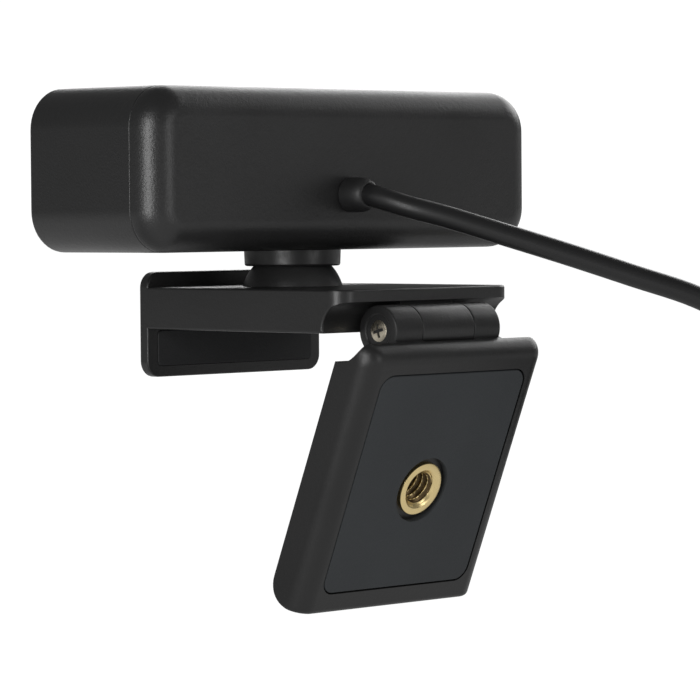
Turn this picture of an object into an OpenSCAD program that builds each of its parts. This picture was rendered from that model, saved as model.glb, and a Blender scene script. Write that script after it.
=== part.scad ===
// USB webcam on a folding monitor clip with a tripod thread in its leg.
// Millimetres. +Z is up, the lens looks along -Y and X is the width.
// The origin is on the underside of the clip block, on the pan axis.

/* [Camera head] */
// Width of the head
head_w = 95.4; // [90:0.2:104]
// Height of the head
head_h = 28.2; // [27:0.1:32]
// Depth of the head, front face to rear face
head_d = 31.3; // [30:0.1:34]
// Height of the head's underside above the origin
head_z = 13.8; // [13.4:0.1:15]
// Distance of the rear face behind the pan axis
head_back = 15.15; // [14.8:0.05:16]
// Corner radius of the head, seen from the front
head_r = 7.2; // [6.6:0.1:9]
// Rounding all round the rear face
rear_r = 5.4; // [4.5:0.1:5.5]
// Depth of the rear cover, seam to rear face
cover_d = 5.7; // [5.5:0.1:8]
// Wall thickness of the two housings
wall = 1.8; // [1.4:0.1:2]
// Radius of the round camera window opening
lens_ring_r = 7.9; // [7:0.1:9]

/* [Clip] */
// Width of the clip
clip_w = 43.2; // [42:0.1:44]
// Thickness of the clip block
block_h = 7.4; // [7.2:0.1:9]
// Front face of the lip, in front of the pan axis
lip_front = 16.8; // [16.8:0.1:19]
// Thickness of the lip
lip_t = 2.2; // [1.8:0.1:2.2]
// Drop of the lip below the block's underside
lip_drop = 8.5; // [7.5:0.1:12]
// Rise of the lip above the block's top
lip_rise = 2.7; // [1.5:0.1:2.8]
// Rear edge of the block, behind the pan axis
block_back = 33; // [32.6:0.1:33.2]

/* [Ball swivel] */
// Radius of the dome
dome_r = 9.23; // [9.1:0.01:9.3]
// Height of the dome's centre
dome_z = 4.87; // [4.8:0.01:5]
// Radius of the collar under the head
collar_r = 8.5; // [8.4:0.1:9]

/* [Hinge and leg] */
// Hinge axis, behind the pan axis
hinge_y = 33.35; // [33.2:0.05:33.6]
// Height of the hinge axis
hinge_z = 0.3; // [0.2:0.05:0.4]
// Radius of the hinge barrel
barrel_r = 4.4; // [4.2:0.1:4.5]
// Length of the hinge barrel
barrel_w = 26.3; // [25:0.1:30]
// Length of the barrel's middle knuckle, which is part of the clip
knuckle_w = 12.9; // [11:0.1:14]
// Width of the leg
leg_w = 44.6; // [43.6:0.1:46]
// Length of the leg below the hinge axis
leg_len = 49; // [48:0.1:49.4]
// Forward lean of the leg from vertical
leg_angle = 22; // [10:1:30]
// Leg's front face, in front of (less than) its rear face
leg_front = 0.5; // [0.5:0.1:1.5]
// Leg's rear face, behind the hinge axis
leg_rear = 8.4; // [8.2:0.05:8.6]
// Outside radius of the brass insert
insert_r = 4.85; // [4.5:0.05:5.2]
// Distance of the insert below the hinge axis
insert_s = 26.6; // [24:0.1:28]

/* [Cable] */
// Diameter of the USB cable
cable_d = 3.9; // [3.7:0.1:3.9]
// Turns in the stored coil
coil_turns = 11; // [10:1:12]

/* [Hidden] */
$fn = 64;
head_x = head_w / 2;
head_front = head_back - head_d;
head_top = head_z + head_h;
head_mid = head_z + head_h / 2;
seam_y = head_back - cover_d;
front_wall = 2.2;
inner_y = head_front + front_wall;
board_y = -3;
board_t = 1.6;
window_t = 1;
mic_x = 22;
boss_x = 31;
boss_z = 7.5;
gland_x = 0.8;
gland_z = 23.4;
gland_r = 3.05;
gland_out = 4.85;
led_x = 14.5;

lip_in = lip_front - lip_t;
relief_r = 5;
pad_proud = 0.2;
lip_corner = 2.8;
block_corner = 3.5;

collar_z = 10.95;
dome_top = 12.2;
seat_gap = 0.06;
neck_r = sqrt(pow(dome_r, 2) - pow(block_h - dome_z, 2));
flange_r = 10.6;
flange_z = 3.45;
flange_t = 1.4;
cap_r = 13.4;
cap_screw_r = 12.2;
screw_r = 1.45;

pin_r = 1.5;
pin_fit = 0.04;
head_seat_r = 2.8;
screw_head_r = 2.3;
pad_w = 35.9;
pad_top = 4.7;
pad_len = 40.3;
pad_r = 2.6;
pad_t = 1.2;
groove = 0.25;
pad_hole_r = 5.95;
thread_r = 3.2;
insert_sink = 0.3;

floor_z = -47.9;
coil_r = 5 * cable_d;
coil_cols = 3;
coil_rows = ceil(coil_turns / coil_cols);
coil_at = [-91, 55.5];

// The cable's route from the socket on the board to the coil
LEAD = [
    [gland_x, 4, gland_z], [gland_x, 12, gland_z], [gland_x, 19, gland_z], [gland_x, 22.6, 22.8],
    [-1.2, 27.4, 21.2], [-5.5, 32.5, 19.4], [-12, 39, 16.5], [-20, 47, 12.9], [-28, 55, 9.1],
    [-36, 63, 5.2], [-43, 68.2, 0.2], [-49, 71.2, -8], [-54, 72.8, -18], [-58.5, 73.8, -28],
    [-63.5, 74.9, -37.5], [-69, 76.2, -43.9], [-74.5, 78, -45.9], [-79, 80, -45.9],
    [-82, 80.7, -45.9], [-85.3, 80.2, -45.9], [-88.5, 79.3, -45.9], [-91, 78.9, -45.9]
];
// The cable's route from the top of the coil to the plug
TAIL = [
    [-77.2, 69.3, -34.25], [-82.8, 73.2, -33.7], [-89.3, 74.9, -31.9], [-95.2, 74.1, -30.1],
    [-98.7, 71.4, -29], [-100.7, 67.6, -28.6], [-101, 65, -28.55], [-101, 62.5, -28.55]
];
plug_at = [-101, 62.5, -28.55];

// ---------- shared shapes ----------

// Rectangle with round corners, centred
module rounded_rect(w, h, r) {
    square([w - 2 * r, h], center = true);
    square([w, h - 2 * r], center = true);
    for (x = [-1, 1], z = [-1, 1])
        translate([x * (w / 2 - r), z * (h / 2 - r)]) circle(r = r);
}

// Slab with round corners seen from the front, from y0 back to y1
module front_slab(w, h, r, y0, y1) {
    translate([0, y1, 0]) rotate([90, 0, 0]) linear_extrude(y1 - y0) rounded_rect(w, h, r);
}

// Rod along Y from y0 to y1
module rod_y(r, y0, y1, x = 0, z = 0) {
    translate([x, y1, z]) rotate([90, 0, 0]) cylinder(r = r, h = y1 - y0);
}

// Rod along X from x0 to x1 on the hinge axis
module rod_x(r, x0, x1) {
    translate([x0, 0, 0]) rotate([0, 90, 0]) cylinder(r = r, h = x1 - x0);
}

// Head outline with the rear edge rounded, shrunk by g, from y0 back
module head_form(g, y0) {
    r = rear_r - g;
    back = head_back - g;
    hull() {
        translate([0, 0, head_mid])
            front_slab(head_w - 2 * g, head_h - 2 * g, head_r - g, y0, head_back - rear_r);
        for (x = [-1, 1], z = [-1, 1])
            translate([x * (head_x - head_r), back - r, head_mid + z * (head_h / 2 - head_r)])
                rotate([-90, 0, 0]) rotate_extrude($fn = 32) intersection() {
                    translate([head_r - rear_r, 0]) circle(r = r, $fn = 32);
                    square([head_r, r]);
                }
    }
}

// Places local leg axes (y outward from the rear face, z along the leg) at the hinge
module at_hinge() {
    translate([0, hinge_y, hinge_z]) children();
}
module in_leg() {
    at_hinge() rotate([-leg_angle, 0, 0]) children();
}

// ---------- sweeping a round tube along a list of points ----------

function unit(v) = v / norm(v);
function bend(a, b, c, d, t) =
    0.5 * (2 * b + (c - a) * t + (2 * a - 5 * b + 4 * c - d) * t * t
        + (3 * b - a - 3 * c + d) * t * t * t);
function smooth_path(p, steps) = let (n = len(p)) [
    for (i = [0 : n - 2], k = [0 : steps - 1])
        bend(p[max(i - 1, 0)], p[i], p[i + 1], p[min(i + 2, n - 1)], k / steps),
    p[n - 1]
];
function heading(p, i) = unit(p[min(i + 1, len(p) - 1)] - p[max(i - 1, 0)]);
function ring(c, t, r, sides) =
    let (s = unit(cross(t, [0, 0, 1])), u = cross(s, t))
    [for (k = [0 : sides - 1]) c + r * (cos(360 * k / sides) * s + sin(360 * k / sides) * u)];

module tube(p, r, sides) {
    n = len(p);
    points = [for (i = [0 : n - 1]) each ring(p[i], heading(p, i), r, sides)];
    walls = [
        for (i = [0 : n - 2], k = [0 : sides - 1]) let (m = (k + 1) % sides)
            [i * sides + k, (i + 1) * sides + k, (i + 1) * sides + m, i * sides + m]
    ];
    start = [for (k = [0 : sides - 1]) k];
    end = [for (k = [sides - 1 : -1 : 0]) (n - 1) * sides + k];
    polyhedron(points, concat([start], walls, [end]));
}

// ---------- clip ----------

module clip_bracket() {
    color("#2c2c2c") difference() {
        union() {
            // block, from the lip back to the rear edge
            linear_extrude(block_h) {
                translate([0, block_back / 2 - 5]) rounded_rect(clip_w, block_back + 10, block_corner);
                translate([-clip_w / 2, -lip_in - 0.5]) square([clip_w, lip_in - 4.5]);
            }
            // lip, hanging below and standing above the block
            translate([0, 0, (block_h + lip_rise - lip_drop) / 2])
                front_slab(clip_w, block_h + lip_rise + lip_drop, lip_corner, -lip_front, -lip_in);
        }
        // round relief for the hinge barrel and the leg
        at_hinge() rod_x(relief_r, -clip_w, clip_w);
        // swivel: neck bore, flange pocket, cap recess
        translate([0, 0, -1]) cylinder(r = neck_r + 0.06, h = block_h + 2);
        translate([0, 0, -1]) cylinder(r = flange_r + 0.5, h = flange_z + flange_t + 1.1);
        translate([0, 0, -1]) cylinder(r = cap_r + 0.1, h = 2.7);
        for (a = [90, 210, 330])
            rotate(a) translate([cap_screw_r, 0, 1]) cylinder(r = 0.77, h = 4.2);
        // pocket for the lip pad
        translate([0, 0, -3.4]) front_slab(38.6, 6.4, 1, -lip_in - 0.8, -lip_in + 1);
    }
    color("#2c2c2c") difference() {
        // middle knuckle and its bridge to the block
        union() {
            at_hinge() rod_x(barrel_r, -knuckle_w / 2, knuckle_w / 2);
            translate([-knuckle_w / 2, 0, 0]) rotate([90, 0, 90]) linear_extrude(knuckle_w)
                polygon([
                    [27.6, 0.05], [hinge_y, 0.05], [hinge_y, hinge_z + barrel_r],
                    [block_back - 0.3, 5.7], [27.6, 5.7]
                ]);
        }
        at_hinge() rod_x(pin_r + pin_fit, -clip_w, clip_w);
    }
}

module lip_pad() {
    color("#2e2e2e") translate([0, 0, -3.4])
        front_slab(38.4, 6.2, 0.9, -lip_in - 0.75, -lip_in + pad_proud);
}

module swivel_cap() {
    color("#262626") difference() {
        union() {
            cylinder(r = cap_r, h = 1.6);
            cylinder(r = flange_r + 0.4, h = flange_z - 0.1);
        }
        translate([0, 0, 1.2]) cylinder(r = 6.6, h = 5);
        for (a = [90, 210, 330]) rotate(a) translate([cap_screw_r, 0, -1]) {
            cylinder(r = 0.8, h = 5);
            cylinder(r = 1.15, h = 1.85);
        }
    }
}

module swivel_cap_screws() {
    color("#9a9a98") for (a = [90, 210, 330]) rotate(a) translate([cap_screw_r, 0, 0])
        difference() {
            union() {
                translate([0, 0, 0.3]) cylinder(r = 1.1, h = 0.5);
                translate([0, 0, 0.6]) cylinder(r = 0.75, h = 4.2);
            }
            translate([0, 0, 0.2]) for (q = [0, 90]) rotate(q)
                translate([-0.7, -0.15, 0]) cube([1.4, 0.3, 0.4]);
        }
}

// ---------- ball swivel ----------

module swivel_dome() {
    color("#2b2b2b") difference() {
        union() {
            intersection() {
                translate([0, 0, dome_z]) sphere(r = dome_r, $fn = 96);
                translate([0, 0, block_h]) cylinder(r = 20, h = dome_top - block_h);
            }
            translate([0, 0, flange_z + 1]) cylinder(r = neck_r, h = block_h - flange_z - 1);
            translate([0, 0, flange_z]) cylinder(r = flange_r, h = flange_t);
        }
        // hollow for the saddle washer
        translate([0, 0, dome_z]) sphere(r = 6.1);
        translate([0, 0, 0]) cylinder(r = 6.1, h = dome_z);
        // slot that the tension screw tilts in
        translate([-screw_r - 0.3, -4.6, dome_z]) cube([2 * screw_r + 0.6, 9.2, 20]);
    }
}

module swivel_collar() {
    color("#2e2e2e") difference() {
        union() {
            translate([0, 0, collar_z + 0.35]) cylinder(r1 = collar_r, r2 = collar_r + 0.1,
                h = head_z - collar_z - 0.35);
            translate([0, 0, collar_z]) cylinder(r1 = collar_r - 0.3, r2 = collar_r, h = 0.35);
        }
        translate([0, 0, dome_z]) sphere(r = dome_r + seat_gap, $fn = 96);
        translate([0, 0, 5]) cylinder(r = screw_r + 0.1, h = 20);
    }
}

module tension_screw() {
    color("#8d8d8a") difference() {
        union() {
            translate([0, 0, head_z + wall]) cylinder(r = 2.8, h = 1.8);
            translate([0, 0, 2.6]) cylinder(r = screw_r, h = head_z + wall - 2);
        }
        translate([0, 0, head_z + wall + 0.8]) for (q = [0, 90]) rotate(q)
            translate([-1.7, -0.3, 0]) cube([3.4, 0.6, 3]);
    }
}

module saddle_washer() {
    color("#b9b9b4") difference() {
        intersection() {
            translate([0, 0, dome_z]) sphere(r = 6.05);
            translate([0, 0, 8.5]) cylinder(r = 3.6, h = 5);
        }
        cylinder(r = screw_r + 0.05, h = 20);
    }
}

module tension_spring() {
    turns = 3.5;
    color("#8a8a88") tube(
        [for (a = [0 : 20 : 360 * turns])
            [2.3 * cos(a), 2.3 * sin(a), 5.25 + 2.85 * a / (360 * turns)]],
        0.35, 8);
}

module lock_nut() {
    color("#a0a09c") translate([0, 0, 2.9]) difference() {
        cylinder(r = 3, h = 1.95, $fn = 6);
        translate([0, 0, -1]) cylinder(r = screw_r + 0.02, h = 5);
    }
}

// ---------- camera head ----------

module front_housing() {
    color("#2e2e2e") difference() {
        translate([0, 0, head_mid]) front_slab(head_w, head_h, head_r, head_front, seam_y);
        translate([0, 0, head_mid])
            front_slab(head_w - 2 * wall, head_h - 2 * wall, head_r - wall, inner_y, seam_y + 1);
        // recess for the front window
        translate([0, 0, head_mid])
            front_slab(head_w - 6, head_h - 6, head_r - 3, head_front - 1, head_front + window_t + 0.05);
        // lens, microphones, light pipe, tension screw
        rod_y(lens_ring_r + 0.1, head_front - 1, 0, 0, head_mid);
        for (x = [-1, 1]) rod_y(0.6, head_front - 1, 0, x * mic_x, head_mid);
        rod_y(1.05, head_front - 1, 0, led_x, head_mid);
        cylinder(r = screw_r + 0.1, h = head_mid);
    }
    // posts for the board
    color("#2e2e2e") for (x = [-1, 1], z = [-1, 1]) difference() {
        rod_y(2.6, inner_y - 0.2, board_y, x * boss_x, head_mid + z * boss_z);
        rod_y(0.85, board_y - 7, board_y + 1, x * boss_x, head_mid + z * boss_z);
    }
}

module rear_cover() {
    rim = 2;
    color("#2d2d2d") difference() {
        union() {
            head_form(0, seam_y);
            // locating rim inside the front housing
            translate([0, 0, head_mid]) front_slab(head_w - 2 * wall - 0.1, head_h - 2 * wall - 0.1,
                head_r - wall, seam_y - rim, seam_y + 0.5);
        }
        head_form(wall, seam_y + 0.1);
        translate([0, 0, head_mid]) front_slab(head_w - 2 * wall - 2.4, head_h - 2 * wall - 2.4,
            head_r - wall - 1.2, seam_y - rim - 1, seam_y + 0.6);
        rod_y(gland_r - 0.55, 0, head_back + 1, gland_x, gland_z);
    }
}

module front_window() {
    color("#0d0d0e") difference() {
        translate([0, 0, head_mid])
            front_slab(head_w - 6.2, head_h - 6.2, head_r - 3.1, head_front, head_front + window_t);
        rod_y(lens_ring_r + 0.1, head_front - 1, 0, 0, head_mid);
        for (x = [-1, 1]) rod_y(0.5, head_front - 1, 0, x * mic_x, head_mid);
    }
}

module lens_ring() {
    color("#1b1b1c") translate([0, head_front - 0.55, head_mid]) rotate([-90, 0, 0]) difference() {
        cylinder(r = lens_ring_r, h = front_wall + 0.55);
        translate([0, 0, -1]) cylinder(r = 4.3, h = 10);
        translate([0, 0, -0.01]) cylinder(r1 = 6.6, r2 = 4.3, h = 1.9);
    }
}

module lens_barrel() {
    color("#202021") difference() {
        rod_y(6.5, inner_y + 0.02, -6.5, 0, head_mid);
        rod_y(3.4, inner_y - 1, 0, 0, head_mid);
    }
}

module front_lens() {
    color("#3a4450") intersection() {
        rod_y(4.25, head_front + 0.4, inner_y + 0.02, 0, head_mid);
        translate([0, head_front + 0.9 + 12, head_mid]) sphere(r = 12, $fn = 128);
    }
}

module lens_holder() {
    color("#151515") difference() {
        union() {
            rod_y(8, -11.5, -8, 0, head_mid);
            translate([-8.5, -8, head_mid - 8.5]) cube([17, board_y + 8, 17]);
        }
        rod_y(6.52, -12, -6, 0, head_mid);
        translate([-6.5, -6.01, head_mid - 6.5]) cube([13, 5, 13]);
    }
}

module infrared_filter() {
    color("#7fa5a0") rod_y(4.5, -6.5, -6, 0, head_mid);
}

module image_sensor() {
    color("#30343a") translate([-3.8, board_y - 1, head_mid - 3.2]) cube([7.6, 1, 6.4]);
}

module main_board() {
    color("#1d4a32") difference() {
        translate([-36, board_y, head_mid - 10]) cube([72, board_t, 20]);
        for (x = [-1, 1], z = [-1, 1])
            rod_y(1.2, board_y - 1, board_y + 3, x * boss_x, head_mid + z * boss_z);
    }
}

module board_screws() {
    color("#7c7c7a") for (x = [-1, 1], z = [-1, 1])
        translate([x * boss_x, 0, head_mid + z * boss_z]) difference() {
            union() {
                rod_y(2.1, board_y + board_t, board_y + board_t + 1.3);
                rod_y(0.85, board_y - 5.5, board_y + board_t + 0.5);
            }
            translate([0, board_y + board_t + 0.7, 0]) for (q = [0, 90]) rotate([0, q, 0])
                translate([-1.2, 0, -0.2]) cube([2.4, 1, 0.4]);
        }
}

module status_led() {
    color("#e8e8d8") translate([led_x - 0.8, board_y - 0.7, head_mid - 0.8]) cube([1.6, 0.7, 1.6]);
}

module light_pipe() {
    color("#d8dee2") rod_y(1, head_front + window_t + 0.1, board_y - 0.75, led_x, head_mid);
}

module microphones() {
    color("#b8b49c") for (x = [-1, 1])
        translate([x * mic_x - 1.8, board_y - 1, head_mid - 1.4]) cube([3.6, 1, 2.8]);
}

module microphone_boots() {
    color("#181818") for (x = [-1, 1]) difference() {
        rod_y(1.8, inner_y, board_y - 1, x * mic_x, head_mid);
        rod_y(0.6, inner_y - 1, board_y, x * mic_x, head_mid);
    }
}

module cable_socket() {
    color("#e6e2d2") translate([gland_x - 5, board_y + board_t, gland_z - 2.5]) cube([10, 5.4, 5]);
}

// ---------- cable ----------

module strain_relief() {
    color("#262626") translate([gland_x, head_back, gland_z]) rotate([-90, 0, 0])
        rotate_extrude() polygon([
            [cable_d / 2 + 0.04, -wall - 1.4], [4, -wall - 1.4], [4, -wall - 0.02], [2.45, -wall - 0.02],
            [2.45, 0.02], [gland_r, 0.02], [gland_r, gland_out - 0.9], [gland_r - 0.25, gland_out - 0.3],
            [gland_r - 0.7, gland_out], [cable_d / 2 + 0.04, gland_out]
        ]);
}

module usb_cable() {
    color("#2a2a2a") tube(smooth_path(LEAD, 3), cable_d / 2, 8);
}

module cable_coil() {
    half = coil_cols * cable_d / 2;
    high = coil_rows * cable_d;
    color("#2a2a2a") translate([coil_at[0], coil_at[1], floor_z])
        rotate_extrude() translate([coil_r - half, 0]) polygon([
            [1, 0], [2 * half - 1, 0], [2 * half, 1], [2 * half, high - 2],
            [2 * half - 1.5, high], [1.5, high], [0, high - 2], [0, 1]
        ]);
}

module cable_tie() {
    half = coil_cols * cable_d / 2;
    high = coil_rows * cable_d;
    color("#161616") translate([coil_at[0], coil_at[1], floor_z]) rotate(300)
        translate([coil_r, 0, 0]) difference() {
            translate([-half - 0.8, -2, -0.6]) cube([2 * half + 1.6, 4, high + 1.2]);
            translate([-half - 0.2, -3, 0]) cube([2 * half + 0.4, 6, high]);
        }
}

module cable_tail() {
    color("#2a2a2a") tube(smooth_path(TAIL, 3), cable_d / 2, 8);
}

module plug_frame() {
    translate(plug_at) rotate(180) children();
}

module plug_body() {
    color("#1e1e1e") plug_frame() {
        front_slab(12, 7.4, 1.6, 8, 27);
        translate([0, 8, 0]) rotate([90, 0, 0]) cylinder(r1 = 3.6, r2 = 2.5, h = 8);
    }
}

module plug_shell() {
    color("#c8c8c4") plug_frame() difference() {
        front_slab(12, 4.5, 0.4, 27, 39);
        front_slab(11.4, 3.9, 0.2, 27.5, 40);
        for (x = [-2.6, 2.6]) translate([x - 1.1, 31, -4]) cube([2.2, 2.2, 8]);
    }
}

module plug_insert() {
    color("#ececea") plug_frame() {
        translate([-5.6, 27.6, -1.9]) cube([11.2, 10.8, 1.8]);
    }
}

// ---------- leg ----------

// Side outline of the leg: across is the distance behind the hinge axis, down is negative
function arc(cx, cy, r, a0, a1, n) =
    [for (i = [0 : n]) let (a = a0 + (a1 - a0) * i / n) [cx + r * cos(a), cy + r * sin(a)]];
module leg_outline() {
    toe = 4.8;
    heel = 1;
    top = 2.8;
    polygon(concat(
        [[leg_front, 0], [leg_front, -leg_len + toe]],
        arc(leg_front + toe, -leg_len + toe, toe, 180, 270, 8),
        arc(leg_rear - heel, -leg_len + heel, heel, 270, 360, 4),
        arc(leg_rear - top, -top, top, 0, 90, 8)
    ));
}

module leg() {
    side_r = 3.6;
    color("#2d2d2d") difference() {
        in_leg() union() {
            difference() {
                intersection() {
                    translate([-leg_w / 2, 0, 0]) rotate([90, 0, 90])
                        linear_extrude(leg_w) leg_outline();
                    // rounded rear side edges
                    translate([0, leg_rear - 10, -leg_len - 1]) linear_extrude(leg_len + 2)
                        rounded_rect(leg_w, 20, side_r);
                    // rounded upper corners
                    translate([0, 0, -leg_len]) front_slab(leg_w, 2 * leg_len, 2.3, leg_front - 1, leg_rear + 1);
                }
                // relief beside and between the outer knuckles
                for (x = [-1, 1]) translate([x * (barrel_w / 2 + 10), 0, 0])
                    rod_x(relief_r + 0.05, -10, 10);
                rod_x(relief_r + 0.05, -knuckle_w / 2 - 0.05, knuckle_w / 2 + 0.05);
                // recess for the rear pad
                translate([0, 0, -pad_top - pad_len / 2]) front_slab(pad_w + 2 * groove,
                    pad_len + 2 * groove, pad_r + groove, leg_rear - pad_t, leg_rear + 1);
                // blind seat for the threaded insert
                translate([0, 0, -insert_s]) rod_y(insert_r - 0.85, leg_front + 1, leg_rear + 1);
            }
            for (x = [-1, 1]) translate([x * (barrel_w + knuckle_w + 0.1) / 4, 0, 0])
                rod_x(barrel_r, -(barrel_w - knuckle_w - 0.1) / 4, (barrel_w - knuckle_w - 0.1) / 4);
        }
        at_hinge() {
            rod_x(pin_r + 0.02, -20, 20);
            // seats for the screw head, the nut and the friction washers
            rod_x(head_seat_r, barrel_w / 2 - 2.5, 20);
            translate([-20, 0, 0]) rotate([0, 90, 0]) cylinder(r = 2.85, h = 20 - barrel_w / 2 + 2.6, $fn = 6);
            for (x = [-1, 1]) translate([x * (knuckle_w / 2 + 0.2), 0, 0]) rod_x(3.5, -0.4, 0.4);
        }
    }
}

module leg_pad() {
    color("#3a3b3d") in_leg() difference() {
        translate([0, 0, -pad_top - pad_len / 2])
            front_slab(pad_w, pad_len, pad_r, leg_rear - pad_t, leg_rear);
        translate([0, 0, -insert_s]) rod_y(pad_hole_r, 0, leg_rear + 1);
    }
}

module tripod_insert() {
    color("#cbb06a") in_leg() translate([0, 0, -insert_s]) difference() {
        union() {
            rod_y(insert_r, leg_rear - pad_t, leg_rear - insert_sink);
            rod_y(insert_r - 0.85, leg_front + 1, leg_rear - pad_t);
        }
        rod_y(thread_r, leg_front + 1.6, leg_rear + 1);
    }
}

module hinge_screw() {
    color("#b9b096") at_hinge() difference() {
        union() {
            rod_x(screw_head_r, barrel_w / 2 - 2.5, barrel_w / 2 - 0.4);
            rod_x(pin_r, -barrel_w / 2 + 0.8, barrel_w / 2 - 2);
        }
        for (q = [0, 90]) rotate([q, 0, 0])
            translate([barrel_w / 2 - 1.2, -1.3, -0.3]) cube([3, 2.6, 0.6]);
    }
}

module hinge_nut() {
    color("#a0a09c") at_hinge() difference() {
        translate([-barrel_w / 2 + 0.7, 0, 0]) rotate([0, 90, 0]) cylinder(r = 2.8, h = 1.85, $fn = 6);
        rod_x(pin_r + 0.02, -20, 0);
    }
}

module friction_washers() {
    color("#8c8c88") at_hinge() for (x = [-1, 1]) difference() {
        translate([x * (knuckle_w / 2 + 0.32), 0, 0]) rod_x(3.4, -0.24, 0.24);
        rod_x(pin_r + 0.05, -20, 20);
    }
}

clip_bracket();
lip_pad();
swivel_cap();
swivel_cap_screws();
swivel_dome();
swivel_collar();
tension_screw();
saddle_washer();
tension_spring();
lock_nut();
front_housing();
rear_cover();
front_window();
lens_ring();
lens_barrel();
front_lens();
lens_holder();
infrared_filter();
image_sensor();
main_board();
board_screws();
status_led();
light_pipe();
microphones();
microphone_boots();
cable_socket();
strain_relief();
usb_cable();
cable_coil();
cable_tie();
cable_tail();
plug_body();
plug_shell();
plug_insert();
leg();
leg_pad();
tripod_insert();
hinge_screw();
hinge_nut();
friction_washers();
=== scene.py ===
import math

import bmesh
import bpy
from mathutils import Matrix, Vector


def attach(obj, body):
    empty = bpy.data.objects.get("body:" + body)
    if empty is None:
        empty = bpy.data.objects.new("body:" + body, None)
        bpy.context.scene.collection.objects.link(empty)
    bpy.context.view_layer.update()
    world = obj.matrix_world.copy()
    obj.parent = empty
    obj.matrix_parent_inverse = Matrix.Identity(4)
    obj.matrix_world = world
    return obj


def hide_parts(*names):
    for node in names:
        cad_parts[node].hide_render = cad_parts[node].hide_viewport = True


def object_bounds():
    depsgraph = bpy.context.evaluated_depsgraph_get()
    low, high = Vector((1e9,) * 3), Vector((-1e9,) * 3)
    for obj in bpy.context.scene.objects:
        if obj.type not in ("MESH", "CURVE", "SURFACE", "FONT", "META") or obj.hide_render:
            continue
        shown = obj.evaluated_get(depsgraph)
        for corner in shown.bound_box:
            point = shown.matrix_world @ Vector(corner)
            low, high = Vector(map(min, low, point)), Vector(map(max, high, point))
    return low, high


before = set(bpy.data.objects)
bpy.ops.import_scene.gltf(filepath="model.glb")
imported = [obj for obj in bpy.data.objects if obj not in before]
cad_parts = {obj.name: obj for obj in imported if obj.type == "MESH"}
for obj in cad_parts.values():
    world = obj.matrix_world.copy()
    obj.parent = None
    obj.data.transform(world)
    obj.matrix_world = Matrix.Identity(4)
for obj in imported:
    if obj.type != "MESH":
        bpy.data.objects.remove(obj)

cad_lo, cad_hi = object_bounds()
scene = bpy.context.scene
MM = 0.001


# ---------------------------------------------------------------- camera
def make_camera():
    az, el, roll = math.radians(134.124), math.radians(2.168), math.radians(-0.427)
    back = Vector((math.sin(az) * math.cos(el), -math.cos(az) * math.cos(el), math.sin(el)))
    right = Vector((math.cos(az), math.sin(az), 0.0))
    up = back.cross(right)
    cx = right * math.cos(roll) + up * math.sin(roll)
    cy = -right * math.sin(roll) + up * math.cos(roll)
    target = Vector((-14.493, 0.0, -4.499)) * MM
    data = bpy.data.cameras.new("camera")
    data.sensor_width = 36.0
    data.lens = 3799.606 / 700.0 * 36.0
    data.clip_start, data.clip_end = 0.01, 20.0
    cam = bpy.data.objects.new("camera", data)
    scene.collection.objects.link(cam)
    cam.matrix_world = Matrix((
        (cx.x, cy.x, back.x, 0), (cx.y, cy.y, back.y, 0), (cx.z, cy.z, back.z, 0), (0, 0, 0, 1)))
    cam.location = target + back * 0.685333
    scene.camera = cam


make_camera()


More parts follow.
